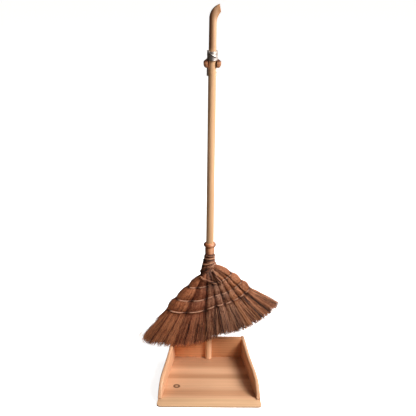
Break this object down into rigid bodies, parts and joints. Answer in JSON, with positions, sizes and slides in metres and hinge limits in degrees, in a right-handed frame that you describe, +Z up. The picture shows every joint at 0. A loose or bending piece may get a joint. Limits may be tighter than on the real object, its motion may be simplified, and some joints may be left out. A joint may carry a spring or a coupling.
{
  "type": "dust pan and brush set",
  "caption": "Wooden dustpan with an upright pole whose yoke carries a long-handled palm-fibre fan broom with a crooked stick.",
  "frame": {"origin": "middle of the floor board's underside, on the surface that the pan stands on", "axes": "+Z up, -Y out of the pan's open front, +X to the right seen from the front"},
  "size_m": [0.393, 0.268, 1.0442],
  "materials": {
    "pan_wood": "satin oiled softwood",
    "stick_wood": "satin oiled softwood",
    "turned_wood": "satin turned wood",
    "steel_wire": "bright drawn wire",
    "screw_steel": "zinc-plated",
    "palm_fibre": "coarse dry plant fibre",
    "binding_cord": "twisted plant cord"
  },
  "bodies": {
    "pan": {"floor_board": "pan_wood", "left_side_wall": "pan_wood", "right_side_wall": "pan_wood", "back_panel": "pan_wood", "pan_pole": "stick_wood", "broom_yoke": "turned_wood", "pole_wire_band": "steel_wire", "left_wall_screw_1": "screw_steel", "left_wall_screw_2": "screw_steel", "right_wall_screw_1": "screw_steel", "right_wall_screw_2": "screw_steel", "back_panel_screw_left": "screw_steel", "back_panel_screw_right": "screw_steel", "pole_foot_screw": "screw_steel", "pole_back_screw_1": "screw_steel", "pole_back_screw_2": "screw_steel", "yoke_screw": "screw_steel"},
    "broom": {"broom_stick": "stick_wood", "stick_wire_band": "steel_wire", "stick_socket": "turned_wood", "socket_peg": "turned_wood", "neck_fibres": "palm_fibre", "neck_winding": "binding_cord", "fibre_bundle_1": "palm_fibre", "fibre_bundle_2": "palm_fibre", "fibre_bundle_3": "palm_fibre", "fibre_bundle_4": "palm_fibre", "fibre_bundle_5": "palm_fibre", "fibre_bundle_6": "palm_fibre", "fibre_bundle_7": "palm_fibre", "fibre_bundle_8": "palm_fibre", "tie_row_1": "binding_cord", "tie_row_2": "binding_cord", "tie_row_3": "binding_cord"}
  },
  "joints": [
    {"name": "broom_lift_off", "type": "slide", "parent": "pan", "child": "broom", "axis": [0, -0.866, 0.5], "range_m": [0, 0.36]}
  ]
}
